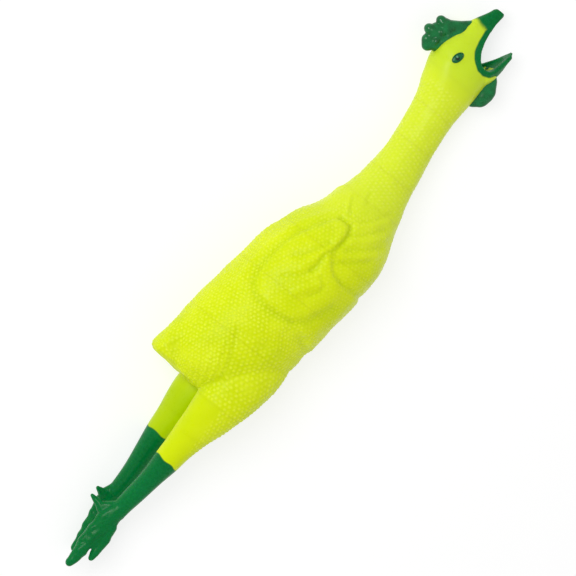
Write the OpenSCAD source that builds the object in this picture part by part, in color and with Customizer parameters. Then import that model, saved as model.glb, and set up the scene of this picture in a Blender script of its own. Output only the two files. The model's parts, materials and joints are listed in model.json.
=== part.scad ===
// Rubber chicken: a hollow, soft moulded figure of a plucked chicken.
// It lies on its left side. +X points to the head, +Y to the back, +Z up; millimetres.
// The moulding is divided where it flexes: each segment turns on a ball inside the rim
// of the one before it.

/* [Moulding] */
// Wall thickness of the hollow shell
wall = 2.2; // [1.8:0.1:2.8]
// Height of the wings above the flanks
wing_relief = 4; // [1:0.5:4]
// Thickness of the comb at its root
comb_thick = 9; // [7:1:10]
// Radius of each eye's long axis
eye_r = 5.5; // [4:0.5:6]

/* [Flexing] */
// Free gap between neighbouring segments
gap = 0.4; // [0.3:0.1:0.6]
// Angle of each rim's setback from the joint plane
groove = 17; // [15:1:19]

/* [Surface] */
// Length of one straight step along a tube
step = 9; // [6:1:10]
// Facets round the body
facets = 24; // [24:4:36]
// Facets round each ball
ball_facets = 20; // [20:4:28]

/* [Hidden] */

vinyl = [0.84, 0.93, 0.10];
green = [0.02, 0.42, 0.18];
iris = [0.01, 0.30, 0.10];

// Sections along each tube: [x, centre y, centre z, half-height along Y, half-width along Z].
BODY = [
    [-92, 13, 37, 23, 17], [-82, 9, 37, 34, 26], [-62, 6, 37, 41, 33], [-42, 3, 37, 43.4, 35],
    [-20, 1.4, 37, 42.2, 36], [0, -1.2, 37, 41, 36.3], [20, -3.6, 37, 41.4, 36],
    [38, -8, 37, 40.4, 34.6], [53, -12, 36.5, 38.2, 31.6], [63, -14.2, 35.5, 33.6, 29],
    [78, -15.8, 33, 27.6, 24.5], [93, -16.4, 30, 22, 20.8], [108, -17, 26.5, 18.8, 18.3],
    [128, -16.6, 22.5, 16.4, 16], [148, -15, 19.6, 16.4, 15.6], [168, -12.8, 18.2, 17.8, 16.4],
    [183, -10.6, 18, 21, 17.6], [198, -8, 18, 24, 18.4], [206, -7.8, 18, 24.2, 17.8]
];
// The upper half of the face, from the cheeks to the tip of the beak.
FACE = [
    [204, 0, 18, 17.4, 17.6], [213, 2, 18, 14.2, 15.4], [223, 0.6, 18, 10, 11.4],
    [233, -0.2, 18, 7, 7.6], [243, -3.4, 18, 4.5, 4.6], [249, -6.6, 18, 2.8, 2.8],
    [252, -9, 18, 1, 1]
];
// The lower beak, from its knuckle to its tip.
JAW = [
    [211, -24.5, 18, 6.9, 13.4], [216, -26.6, 18, 6.4, 12.4], [223, -30.2, 18, 4.6, 8.2],
    [229, -32.4, 18, 3, 4.6], [232.4, -34, 18, 1.2, 1.4]
];
RIGHT_LEG = [
    [-195, -9, 34.5, 6.4, 6.4], [-182, -9.4, 37.5, 7.1, 7], [-162, -9.8, 41.6, 8, 7.9],
    [-150, -9.6, 43.8, 9.7, 9.5], [-136, -9, 46.8, 10.9, 10.5], [-122, -8.8, 49.4, 13.2, 12.5],
    [-110, -9.5, 51.6, 16, 14.8], [-99, -9.8, 53.2, 18.4, 16], [-80, -11.8, 53.6, 23, 17],
    [-50, -11.6, 48, 28, 18]
];
LEFT_LEG = [
    [-187, -9.8, 9.6, 6.6, 6.4], [-172, -8.6, 10.9, 6.9, 7], [-152, -6.2, 12.6, 8.4, 8.4],
    [-138, -4.4, 14.6, 9.9, 9.8], [-122, -4, 17, 12.3, 12.3], [-110, -3.8, 18.8, 15, 14.8],
    [-99, -4.6, 19.8, 17.6, 16], [-80, -9, 20.2, 22, 17], [-50, -11, 25, 27, 18]
];

// Joints: [centre, ball radius].
NECK_BASE = joint(BODY, 96, 18.6);
NECK_SWAY = joint(BODY, 124, 15.2);
NECK_TOP = joint(BODY, 152, 14.6);
NOD = joint(BODY, 179, 15.6);
RIGHT_HIP = joint(RIGHT_LEG, -99, 14.6);
RIGHT_KNEE = joint(RIGHT_LEG, -150, 8.2);
RIGHT_ANKLE = joint(RIGHT_LEG, -194, 5.2);
LEFT_HIP = joint(LEFT_LEG, -99, 14.6);
LEFT_KNEE = joint(LEFT_LEG, -138, 8.6);
LEFT_ANKLE = joint(LEFT_LEG, -186, 5.2);
JAW_PIVOT = [211, -24.5, 18];
WATTLE_PIVOT = [200, -32.6, 18];
jaw_r = 7;

hip_clear_r = 21;
rim_depth = 14;
reach = 70;
inner_step = 13;
mid_head_z = 18;

// Cubic interpolation of a section table at station x.
function span(p, x, i = 0) = (i >= len(p) - 2 || x < p[i + 1][0]) ? i : span(p, x, i + 1);
function slope(p, i) =
    let (a = max(i - 1, 0), b = min(i + 1, len(p) - 1)) (p[b] - p[a]) / (p[b][0] - p[a][0]);
function section(p, x) =
    let (i = span(p, x), d = p[i + 1][0] - p[i][0], t = (x - p[i][0]) / d)
    (2 * t ^ 3 - 3 * t ^ 2 + 1) * p[i] + (t ^ 3 - 2 * t ^ 2 + t) * d * slope(p, i)
    + (3 * t ^ 2 - 2 * t ^ 3) * p[i + 1] + (t ^ 3 - t ^ 2) * d * slope(p, i + 1);
function joint(p, x, r) = let (s = section(p, x)) [[s[0], s[1], s[2]], r];

// The elliptical outline of a tube at one section, grown or shrunk all round.
function outline(s, grow) = [for (i = [0:facets - 1]) let (a = 360 * i / facets)
    [s[0], s[1] + max(s[3] + grow, 0.4) * cos(a), s[2] + max(s[4] + grow, 0.4) * sin(a)]];

// One straight step of a tube between two sections.
module bar(s, e, grow = 0) {
    n = facets;
    hull() polyhedron(
        points = concat(outline(s, grow), outline(e, grow)),
        faces = concat([[for (i = [0:n - 1]) i]], [[for (i = [n - 1:-1:0]) n + i]],
            [for (i = [0:n - 1]) [i, n + i, n + (i + 1) % n, (i + 1) % n]]));
}

// A smooth tube through the sections of a table, from one station to another.
module loft(p, x0, x1, grow = 0, pitch = step) {
    n = ceil((x1 - x0) / pitch);
    for (i = [0:n - 1])
        bar(section(p, x0 + (x1 - x0) * i / n), section(p, x0 + (x1 - x0) * (i + 1) / n), grow);
}

// A chain of rounded blobs: [x, y, z, radius along X, along Y, along Z].
module blobs(list, fn = 13) {
    for (i = [0:len(list) - 2]) hull() {
        blob(list[i], fn);
        blob(list[i + 1], fn);
    }
}

module blob(b, fn = 13) {
    translate([b[0], b[1], b[2]]) scale([b[3], b[4], b[5]]) sphere(r = 1, $fn = fn);
}

// Everything above the surface that the chicken lies on.
module above_floor() {
    translate([-300, -100, 0]) cube([600, 200, 120]);
}

// The space that opens from a joint's centre along X, at an angle from the joint plane.
module cone(c, side, angle) {
    translate(c) rotate([0, 90 * side, 0]) cylinder(h = reach, r1 = 0, r2 = reach / tan(angle), $fn = 24);
}

// The rim's setback round a hip, cut out of the torso and the tail.
module hip_room(j) {
    difference() {
        translate(j[0] - [30, 0, 0]) rotate([0, 90, 0]) cylinder(h = 30 + rim_depth, r = hip_clear_r, $fn = 24);
        cone(j[0], 1, groove);
    }
}

// A hollow tube that turns on a ball at joint a and holds the next ball at joint b.
module flex_tube(p, a, b) {
    side = sign(b[0][0] - a[0][0]);
    x0 = min(a[0][0], b[0][0]);
    x1 = max(a[0][0], b[0][0]);
    difference() {
        union() {
            intersection() {
                loft(p, x0, x1);
                cone(a[0], side, groove);
                cone(b[0], -side, groove);
            }
            translate(a[0]) sphere(r = a[1], $fn = ball_facets);
        }
        intersection() {
            loft(p, x0, x1, -wall, inner_step);
            cone(a[0], side, 2.2 * groove);
        }
        ball_hollow(a, side);
        translate(b[0]) sphere(r = b[1] + gap, $fn = ball_facets);
    }
}

// The inside of a joint's ball, with its mouth towards the segment before it.
module ball_hollow(j, side) {
    translate(j[0]) sphere(r = j[1] - wall, $fn = 14);
    translate(j[0]) rotate([0, -90 * side, 0]) cylinder(h = reach, r = 0.6 * j[1], $fn = 14);
}

module torso_outer(grow = 0, pitch = step) {
    loft(BODY, -92, 96, grow, pitch);
    loft(RIGHT_LEG, -99, -50, grow, pitch);
    loft(LEFT_LEG, -99, -50, grow, pitch);
}

module torso_shell() {
    color(vinyl) difference() {
        intersection() {
            torso_outer();
            union() {
                cone(NECK_BASE[0], -1, groove);
                translate([-120, -60, -5]) cube([150, 120, 100]);
            }
            above_floor();
        }
        difference() {
            intersection() {
                torso_outer(-wall, inner_step);
                translate([0, 0, wall]) above_floor();
            }
            translate([-95, -60, -5]) cube([5, 120, 100]);
        }
        for (j = [RIGHT_HIP, LEFT_HIP]) {
            hip_room(j);
            translate(j[0]) sphere(r = j[1] + gap, $fn = ball_facets);
        }
        translate(NECK_BASE[0]) sphere(r = NECK_BASE[1] + gap, $fn = ball_facets);
    }
}

// The blunt, upright tail stump behind the back.
module tail() {
    color(vinyl) difference() {
        hull() {
            blob([-88, 48, 37, 5, 5, 11]);
            blob([-87, 8, 37, 6, 6, 15]);
            blob([-60, 42, 37, 6, 5, 13]);
            blob([-60, 10, 37, 6, 6, 20]);
        }
        torso_outer();
        for (j = [RIGHT_HIP, LEFT_HIP]) hip_room(j);
    }
}

// A folded wing: a raised plate that follows the flank.
module wing(side) {
    difference() {
        intersection() {
            loft(BODY, -44, 82, wing_relief);
            translate([0, 0, side > 0 ? 37 : -40]) linear_extrude(77)
                offset(r = 4, $fn = 24) offset(r = -4) polygon([
                    [74, 6], [62, 18], [40, 28], [12, 34], [-14, 34], [-20, 20], [-18, -4],
                    [-30, -36], [-20, -50], [18, -60], [29, -58], [30, -36], [52, -24], [68, -12]
                ]);
            above_floor();
        }
        torso_outer();
    }
}

module right_wing() { color(vinyl) wing(1); }
module left_wing() { color(vinyl) wing(-1); }

module neck_lower() { color(vinyl) flex_tube(BODY, NECK_BASE, NECK_SWAY); }
module neck_middle() { color(vinyl) flex_tube(BODY, NECK_SWAY, NECK_TOP); }
module neck_upper() { color(vinyl) intersection() {
    flex_tube(BODY, NECK_TOP, NOD);
    above_floor();
} }

// The head's outer form: the skull and the upper half of the face.
module head_outer(grow = 0) {
    intersection() {
        loft(BODY, 179, 206, grow);
        cone(NOD[0], 1, groove);
    }
    loft(FACE, 204, 233, grow);
    bar(section(BODY, 206), [212, -8, mid_head_z, 22, 15.6], grow);
}

// The open mouth between the upper beak, the cheeks and the lower beak.
module mouth() {
    hull() {
        blob([213, -16, mid_head_z, 4, 7, 12]);
        blob([230, -13.5, mid_head_z, 4, 7, 12]);
        blob([236, -20, mid_head_z, 4, 14, 14]);
        blob([214, -24, mid_head_z, 3, 5, 11]);
    }
    translate([213, -60, -5]) cube([40, 40, 50]);
}

module head_shell() {
    color(vinyl) difference() {
        intersection() {
            union() {
                head_outer();
                translate(NOD[0]) sphere(r = NOD[1], $fn = ball_facets);
            }
            above_floor();
        }
        intersection() {
            loft(BODY, 179, 203, -wall);
            cone(NOD[0], 1, 2.2 * groove);
        }
        ball_hollow(NOD, 1);
        mouth();
        translate(JAW_PIVOT - [0, 0, 30]) cylinder(h = 60, r = jaw_r + 2.5 * gap, $fn = 32);
    }
}

module comb() {
    color(green) difference() {
        union() {
            blobs([[202, 20, 18, 6, 8, comb_thick / 2], [205, 25, 18, 5, 4, 3.6],
                   [199.5, 24.6, 18, 4, 4, 3.2]]);
            blobs([[208, 18, 18, 6, 8, comb_thick / 2], [209.5, 27.5, 18, 5, 5, 4]]);
            blobs([[214, 15, 18, 6, 8, comb_thick / 2], [218, 24.5, 18, 4.5, 5, 3.8]]);
            blobs([[220, 12, 18, 6, 7, comb_thick / 2], [220.5, 21, 18, 4, 4.5, 3.4]]);
            blobs([[224, 8, 18, 5, 5, 4], [229.5, 7, 18, 4, 3, 3]]);
        }
        head_outer();
    }
}

module upper_beak() { color(green) loft(FACE, 233, 252, 0, 3.2); }

module eye(side) {
    difference() {
        translate([205.6, 4.8, mid_head_z + side * 15.6]) rotate([0, 0, -18])
            blob([0, 0, 0, eye_r, 3.4, 2.6]);
        head_outer();
    }
}

module right_eye() { color(iris) eye(1); }
module left_eye() { color(iris) intersection() { eye(-1); above_floor(); } }

module lower_beak() {
    color(green) difference() {
        union() {
            loft(JAW, 211, 232.4, 0, 3.6);
            translate(JAW_PIVOT - [0, 0, 13]) cylinder(h = 26, r = jaw_r, $fn = 32);
        }
        // The trough of the beak
        hull() {
            blob([217, -21, mid_head_z, 5, 6, 9.5]);
            blob([229, -29.5, mid_head_z, 1.5, 2, 2]);
            blob([225, -20, mid_head_z, 4, 6, 7]);
        }
        translate([200, -60, -5]) cube([11 - jaw_r, 60, 50]);
    }
}

// The wedge under the throat that the wattles swing in.
module wattle_swing_room() {
    translate([180, WATTLE_PIVOT[1], WATTLE_PIVOT[2]]) rotate([90, 0, 90]) linear_extrude(40)
        polygon([[0, 0], [-20, 20 / tan(groove)], [-20, -20 / tan(groove)]]);
}

// A soft lobe that hangs clear of the throat.
module wattle(side) {
    difference() {
        intersection() {
            wattle_swing_room();
            blobs([[189, -30, 18 + side * 5, 3.5, 3, 3], [195, -35, 18 + side * 5.5, 4, 5.5, 4],
               [202, -35.4, 18 + side * 5.5, 5, 5.6, 4], [210, -32.5, 18 + side * 5, 4, 3, 3]]);
        }
        loft(BODY, 179, 206, gap);
        loft(JAW, 211, 232.4, 2.2, 4);
        translate(JAW_PIVOT - [0, 0, 30]) cylinder(h = 60, r = jaw_r + 2.4, $fn = 32);
        head_outer(gap);
    }
}

module right_wattle() { color(green) wattle(1); }
module left_wattle() { color(green) wattle(-1); }

module right_thigh() { color(vinyl) flex_tube(RIGHT_LEG, RIGHT_HIP, RIGHT_KNEE); }
module left_thigh() { color(vinyl) flex_tube(LEFT_LEG, LEFT_HIP, LEFT_KNEE); }
module right_shank() { color(green) flex_tube(RIGHT_LEG, RIGHT_KNEE, RIGHT_ANKLE); }
module left_shank() { color(green) flex_tube(LEFT_LEG, LEFT_KNEE, LEFT_ANKLE); }

// A flat foot: the palm and three toes, about its ankle.
module foot(j, turn, lean) {
    r = j[1];
    translate(j[0]) rotate([0, 0, turn]) {
        sphere(r = r, $fn = 20);
        intersection() {
            blobs([[-2, 0, 0, 6, 6.2, 5.8], [-12, 3.5, -lean, 6, 10, 5.6], [-21, 2, -lean, 6, 9.5, 5]]);
            rotate([0, -90, 0]) cylinder(h = reach, r1 = 0, r2 = reach / tan(groove), $fn = 24);
        }
        blobs([[-22, 2.5, -lean, 6, 5, 5], [-40, 3, -lean, 5, 4.6, 4.4], [-54, 2.2, -lean, 4, 3.4, 3.4]]);
        blobs([[-20, -4, -lean, 5, 5, 4.6], [-34, -7.2, -lean, 4, 4, 4], [-40, -7, -lean, 3.4, 3, 3]]);
        blobs([[-20, 6, -lean, 5, 5, 4.4], [-34, 8, -lean, 4, 3.6, 3.6], [-41, 7.4, -lean, 3, 2.8, 2.8]]);
    }
}

module right_foot() { color(green) foot(RIGHT_ANKLE, 0, 1); }
module left_foot() { color(green) intersection() {
    foot(LEFT_ANKLE, 6, 3);
    above_floor();
} }

// The pointed spur on the back of the foot.
module spur(j, turn, lean, height, tip_lean) {
    difference() {
        translate(j[0]) rotate([0, 0, turn])
            blobs([[-6.8, 6, -lean, 5, 5, 4.6], [-5.6, height - 5, -lean + tip_lean * 0.7, 3, 4, 2.8],
                   [-5, height - 1.6, -lean + tip_lean, 1.6, 1.6, 1.6]]);
        foot(j, turn, lean);
    }
}

module right_spur() { color(green) spur(RIGHT_ANKLE, 0, 1, 21, -6); }
module left_spur() { color(green) spur(LEFT_ANKLE, 6, 3, 17, 5); }

torso_shell();
tail();
right_wing();
left_wing();
neck_lower();
neck_middle();
neck_upper();
head_shell();
comb();
upper_beak();
right_eye();
left_eye();
lower_beak();
right_wattle();
left_wattle();
right_thigh();
right_shank();
right_foot();
right_spur();
left_thigh();
left_shank();
left_foot();
left_spur();
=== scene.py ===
"""Rubber chicken: one soft vinyl skin with sprayed green parts, lying on its left side."""

import json
import logging
import math
from collections.abc import Callable
from dataclasses import dataclass
from enum import Enum

import bmesh
import bpy
import numpy as np
from mathutils import Matrix, Vector

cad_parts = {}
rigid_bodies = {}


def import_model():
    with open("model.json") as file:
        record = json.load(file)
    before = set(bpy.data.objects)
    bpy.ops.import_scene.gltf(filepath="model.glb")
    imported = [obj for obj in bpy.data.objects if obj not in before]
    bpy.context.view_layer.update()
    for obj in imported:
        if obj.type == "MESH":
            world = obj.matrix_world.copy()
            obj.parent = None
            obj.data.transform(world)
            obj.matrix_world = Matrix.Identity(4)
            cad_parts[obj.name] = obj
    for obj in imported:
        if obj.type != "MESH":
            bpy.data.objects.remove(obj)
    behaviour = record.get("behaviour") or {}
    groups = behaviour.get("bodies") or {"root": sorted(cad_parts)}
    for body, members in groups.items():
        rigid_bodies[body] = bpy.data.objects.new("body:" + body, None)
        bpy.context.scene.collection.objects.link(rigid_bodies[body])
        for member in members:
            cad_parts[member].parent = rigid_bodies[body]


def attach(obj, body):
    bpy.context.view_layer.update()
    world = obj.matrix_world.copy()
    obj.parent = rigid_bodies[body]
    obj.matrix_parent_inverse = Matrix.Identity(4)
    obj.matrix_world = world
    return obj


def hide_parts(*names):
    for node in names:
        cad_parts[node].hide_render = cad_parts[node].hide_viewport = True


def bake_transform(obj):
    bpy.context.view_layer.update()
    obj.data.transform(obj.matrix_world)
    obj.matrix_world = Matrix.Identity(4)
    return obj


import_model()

logging.basicConfig(level=logging.INFO, format="%(message)s")
LOG = logging.getLogger("chicken")

# Metres in a millimetre.
MM = 0.001
# Turn of the view about the chicken's length.
TILT = math.radians(25.0)
# Heights of the mid-planes of the torso and of the head, in millimetres.
FLANK_MID_Z = 37.0
HEAD_MID_Z = 18.0
# The lowest height of anything that touches the floor.
FLOOR_GAP = 0.05
# The farthest that the tip of the beak reaches.
BEAK_END = 251.9


# ---------------------------------------------------------------- shapes along a tube


def hermite(table: np.ndarray, x: np.ndarray) -> np.ndarray:
    """Smooth interpolation of a section table, its columns being x and then the values.

    Args:
        table: rows sorted by their first column.
        x: the stations asked for.

    Returns:
        One row of values per station, without the first column.
    """
    slopes = np.gradient(table[:, 1:], table[:, 0], axis=0)
    slopes[0] = (table[1, 1:] - table[0, 1:]) / (table[1, 0] - table[0, 0])
    slopes[-1] = (table[-1, 1:] - table[-2, 1:]) / (table[-1, 0] - table[-2, 0])
    i = np.clip(np.searchsorted(table[:, 0], x) - 1, 0, len(table) - 2)
    d = (table[i + 1, 0] - table[i, 0])[:, None]
    t = np.clip((x - table[i, 0])[:, None] / d, 0.0, 1.0)
    return (
        (2 * t**3 - 3 * t**2 + 1) * table[i, 1:]
        + (t**3 - 2 * t**2 + t) * d * slopes[i]
        + (3 * t**2 - 2 * t**3) * table[i + 1, 1:]
        + (t**3 - t**2) * d * slopes[i + 1]
    )


def smoothstep(low: float, high: float, value: np.ndarray) -> np.ndarray:
    """A soft step from 0 at low to 1 at high."""
    t = np.clip((value - low) / (high - low), 0.0, 1.0)
    return t * t * (3 - 2 * t)


def distance_to_line(points: np.ndarray, line: list[tuple[float, float]]) -> np.ndarray:
    """Distance of flat points from an open polyline.

    Args:
        points: an array of N rows and 2 columns.
        line: the polyline's corners.

    Returns:
        N distances.
    """
    best = np.full(len(points), 1e9)
    corners = np.array(line, float)
    for a, b in zip(corners[:-1], corners[1:]):
        along = np.clip(((points - a) @ (b - a)) / ((b - a) @ (b - a)), 0.0, 1.0)
        best = np.minimum(best, np.linalg.norm(points - a - along[:, None] * (b - a), axis=1))
    return best


@dataclass(frozen=True)
class Tube:
    """A round tube given by sections of x, centre y, centre z, half-height and half-width."""

    rows: tuple[tuple[float, ...], ...]
    segments: int = 72
    pitch: float = 3.0

    def table(self) -> np.ndarray:
        """The sections as an array."""
        return np.array(self.rows, float)

    def at(self, x: np.ndarray) -> np.ndarray:
        """Centre y, centre z, half-height and half-width at each station."""
        return hermite(self.table(), np.asarray(x, float))

    def build(self, bm: bmesh.types.BMesh, start: float, end: float) -> None:
        """Adds the closed tube between two stations.

        Args:
            bm: the mesh that takes the tube.
            start: the lowest x.
            end: the highest x.
        """
        stations = np.linspace(start, end, max(2, math.ceil((end - start) / self.pitch) + 1))
        loops = []
        for x, (cy, cz, ry, rz) in zip(stations, self.at(stations)):
            place = Matrix(((0, 0, 1, x), (ry, 0, 0, cy), (0, rz, 0, cz), (0, 0, 0, 1)))
            ring = bmesh.ops.create_circle(
                bm, cap_ends=False, segments=self.segments, radius=1.0, matrix=place,
            )
            loops.append(list({e for v in ring["verts"] for e in v.link_edges}))
        for near, far in zip(loops[:-1], loops[1:]):
            bmesh.ops.bridge_loops(bm, edges=near + far)
        for cap in (loops[0], loops[-1]):
            bmesh.ops.edgeloop_fill(bm, edges=cap)


@dataclass(frozen=True)
class Blob:
    """An ellipsoid by its centre and its three radii."""

    centre: tuple[float, float, float]
    radii: tuple[float, float, float]

    def build(self, bm: bmesh.types.BMesh, segments: int = 24) -> None:
        """Adds the ellipsoid."""
        place = Matrix.Translation(self.centre) @ Matrix.Diagonal((*self.radii, 1.0))
        bmesh.ops.create_uvsphere(
            bm, u_segments=segments, v_segments=segments // 2, radius=1.0, matrix=place,
        )


def add_hull(bm: bmesh.types.BMesh, blobs: list[Blob]) -> None:
    """Adds the closed skin drawn tightly over some blobs.

    Args:
        bm: the mesh that takes the skin.
        blobs: what the skin is drawn over.
    """
    part = bmesh.new()
    for blob in blobs:
        blob.build(part)
    result = bmesh.ops.convex_hull(part, input=list(part.verts), use_existing_faces=False)
    inner = {g for g in result["geom_interior"] + result["geom_unused"] if isinstance(g, bmesh.types.BMVert)}
    bmesh.ops.delete(part, geom=list(inner), context="VERTS")
    leftover = [f for f in part.faces if f not in set(result["geom"])]
    bmesh.ops.delete(part, geom=leftover, context="FACES_ONLY")
    copy_into(part, bm)
    part.free()


def add_chain(bm: bmesh.types.BMesh, blobs: list[Blob]) -> None:
    """Adds a limb of blobs, each pair under one skin."""
    for a, b in zip(blobs[:-1], blobs[1:]):
        add_hull(bm, [a, b])


def copy_into(source: bmesh.types.BMesh, target: bmesh.types.BMesh) -> None:
    """Adds all of one mesh to another."""
    mesh = bpy.data.meshes.new("part")
    source.to_mesh(mesh)
    target.from_mesh(mesh)
    bpy.data.meshes.remove(mesh)


def make_object(name: str, bm: bmesh.types.BMesh, scale: float = MM) -> bpy.types.Object:
    """Turns a mesh in millimetres into an object in metres, and frees it.

    Args:
        name: the object's name.
        bm: the mesh.
        scale: what its coordinates are multiplied by.

    Returns:
        The object, linked to the scene.
    """
    bmesh.ops.scale(bm, vec=(scale,) * 3, verts=bm.verts)
    mesh = bpy.data.meshes.new(name)
    bm.to_mesh(mesh)
    bm.free()
    piece = bpy.data.objects.new(name, mesh)
    bpy.context.scene.collection.objects.link(piece)
    return piece


def apply_modifiers(piece: bpy.types.Object) -> None:
    """Makes an object's mesh what its modifiers give, and removes them."""
    graph = bpy.context.evaluated_depsgraph_get()
    done = bpy.data.meshes.new_from_object(piece.evaluated_get(graph))
    piece.modifiers.clear()
    piece.data = done


def fuse(piece: bpy.types.Object, voxel: float) -> None:
    """Melts an object's overlapping solids into one skin of even quads, voxel millimetres wide."""
    modifier = piece.modifiers.new("fuse", "REMESH")
    modifier.mode = "VOXEL"
    modifier.voxel_size = voxel * MM
    modifier.use_smooth_shade = True
    apply_modifiers(piece)


def relax(piece: bpy.types.Object, rounds: int, chosen: np.ndarray | None = None) -> None:
    """Rounds off a mesh's hollows and edges.

    Args:
        piece: the object.
        rounds: how many times each vertex moves half-way to its neighbours' middle.
        chosen: which vertices move, or all of them.
    """
    bm = bmesh.new()
    bm.from_mesh(piece.data)
    bm.verts.ensure_lookup_table()
    verts = list(bm.verts) if chosen is None else [bm.verts[i] for i in np.flatnonzero(chosen)]
    for _ in range(rounds):
        bmesh.ops.smooth_vert(bm, verts=verts, factor=0.5, use_axis_x=True, use_axis_y=True, use_axis_z=True)
    bm.to_mesh(piece.data)
    bm.free()


def read_vectors(items: bpy.types.bpy_prop_collection, name: str) -> np.ndarray:
    """Reads one vector per vertex, face or attribute value.

    Args:
        items: a mesh's vertices or faces, or an attribute's data.
        name: which of their values is read.

    Returns:
        An array with a row of 3 numbers for each item.
    """
    flat = np.zeros(len(items) * 3, np.float32)
    items.foreach_get(name, flat)
    return flat.reshape(-1, 3).astype(float)


def points_mm(piece: bpy.types.Object) -> np.ndarray:
    """An object's vertices, in millimetres."""
    return read_vectors(piece.data.vertices, "co") / MM


def normals_of(piece: bpy.types.Object) -> np.ndarray:
    """An object's vertex normals."""
    return read_vectors(piece.data.vertices, "normal")


def place_points(piece: bpy.types.Object, points: np.ndarray) -> None:
    """Moves an object's vertices to points in millimetres."""
    piece.data.vertices.foreach_set("co", (points * MM).astype(np.float32).ravel())
    piece.data.update()


def rest_on_floor(points: np.ndarray) -> None:
    """Lifts whatever would reach into the floor."""
    points[:, 2] = np.maximum(points[:, 2], FLOOR_GAP)


def side_name(side: int) -> str:
    """The chicken's right or left, for a side of 1 or -1."""
    return "right" if side > 0 else "left"


def shade_smooth(piece: bpy.types.Object) -> None:
    """Shades every face smooth."""
    piece.data.polygons.foreach_set("use_smooth", [True] * len(piece.data.polygons))


def store(piece: bpy.types.Object, name: str, values: np.ndarray) -> None:
    """Keeps one number per vertex as an attribute."""
    attribute = piece.data.attributes.get(name) or piece.data.attributes.new(name, "FLOAT", "POINT")
    attribute.data.foreach_set("value", values.astype(np.float32))


def store_places(piece: bpy.types.Object, name: str) -> None:
    """Keeps each vertex's place as an attribute, so that a finish stays put when the skin bends."""
    attribute = piece.data.attributes.new(name, "FLOAT_VECTOR", "POINT")
    attribute.data.foreach_set("vector", (points_mm(piece) * MM).astype(np.float32).ravel())


# ---------------------------------------------------------------- the chicken's form

BODY = Tube(
    rows=(
        (-92, 13, 37, 23, 17), (-82, 9, 37, 34.4, 26), (-62, 6.2, 37, 41.8, 33), (-42, 2.6, 37, 44.6, 35),
        (-20, 0.6, 37, 42.9, 36), (0, -2.2, 37, 42, 36.3), (20, -4.8, 37, 42.4, 36),
        (38, -9, 37, 40.5, 34.6), (53, -12.3, 36.5, 37.4, 31.6), (63, -14.5, 35.5, 32.4, 29),
        (78, -14.9, 33, 27.4, 24.5), (93, -16.2, 30, 22.6, 20.8), (108, -17.1, 26.5, 19.5, 18.3),
        (128, -17, 22.5, 17.2, 16), (148, -15.4, 19.6, 16.5, 15.6), (168, -13.2, 18.2, 17.6, 16.4),
        (183, -10.5, 18, 21.3, 17.6), (198, -8.2, 18, 24.2, 18.2), (206, -8, 18, 24.4, 17.8),
        (212, -8.4, 18, 22.8, 16),
    )
)
FACE = Tube(
    rows=(
        (186, -5, 18, 12, 12), (196, -2.6, 18, 16, 15.8), (204, -1.2, 18, 18.4, 17.2),
        (213, -2, 18, 18.2, 15.6), (223, -2.4, 18, 13.6, 11.6), (233, -3.2, 18, 11, 7.7),
        (243, -4.4, 18, 7, 5), (247.6, -5.2, 18, 5.2, 4), (250.8, -5.9, 18, 4.2, 3.4),
        (252.3, -6.3, 18, 2.7, 2.3),
    ),
    segments=56,
    pitch=1.5,
)
JAW = Tube(
    rows=(
        (199, -20.5, 18, 8, 11.4), (205, -23, 18, 8.9, 13.4), (211, -25.2, 18, 8.4, 13.8),
        (216, -27.6, 18, 6.9, 12),
        (224, -30.2, 18, 4.9, 7.9), (230.6, -31.8, 18, 3.2, 4.6), (235, -32.8, 18, 1.7, 2.1),
    ),
    segments=56,
    pitch=1.5,
)
RIGHT_LEG = Tube(
    rows=(
        (-201, -8.8, 33.6, 6.9, 5.8), (-195, -9.2, 34.5, 6.8, 6.2), (-182, -9.6, 37.5, 7.3, 7),
        (-162, -10, 41.6, 8.3, 7.9), (-150, -9.8, 43.8, 9.9, 9.5), (-136, -9.2, 46.8, 11.1, 10.5),
        (-122, -9, 49.6, 13.4, 12.2), (-110, -9.7, 52.2, 16.2, 13.8), (-99, -10, 53.8, 18.7, 15),
        (-80, -11.6, 53.6, 22.4, 17), (-50, -11.4, 48, 27.4, 18), (-36, -11, 46, 25.6, 15),
    ),
    segments=56,
)
LEFT_LEG = Tube(
    rows=(
        (-193, -10, 9.2, 6.6, 5.8), (-187, -9.8, 9.6, 6.6, 6.4), (-172, -8.6, 10.9, 6.9, 7),
        (-152, -6.2, 12.6, 8.4, 8.4), (-138, -4.4, 14.6, 9.9, 9.8), (-122, -4, 16.8, 12.3, 12),
        (-110, -3.8, 18.2, 15, 13.8), (-99, -4.6, 19, 17.6, 15), (-80, -9, 20.2, 22, 17),
        (-50, -12, 25, 28, 18), (-36, -12, 27, 26, 15),
    ),
    segments=56,
)
# The gape's edge on the mid-plane, along the upper beak to the corner and back along the lower one.
UPPER_MOUTH = (
    (262, -12.6), (250, -9.6), (243, -8), (233, -7.3), (226, -7.5), (220, -9), (215, -12),
    (212.6, -15), (211.8, -18.8),
)
LOWER_MOUTH = ((213, -22.4), (216.2, -25.2), (224, -28.8), (232, -32.2), (262, -40))
MOUTH_LINE = UPPER_MOUTH + LOWER_MOUTH


def seen_height(points: np.ndarray, mid_z: float = FLANK_MID_Z) -> np.ndarray:
    """Height up the moulder's drawing of a flank, which is tilted towards the back.

    Args:
        points: vertices in millimetres.
        mid_z: the mid-plane that the two flanks mirror in.

    Returns:
        One height per vertex, the same for both flanks.
    """
    away = np.abs(points[:, 2] - mid_z) + mid_z - 38.0
    return points[:, 1] * math.cos(TILT) - away * math.sin(TILT)


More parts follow.
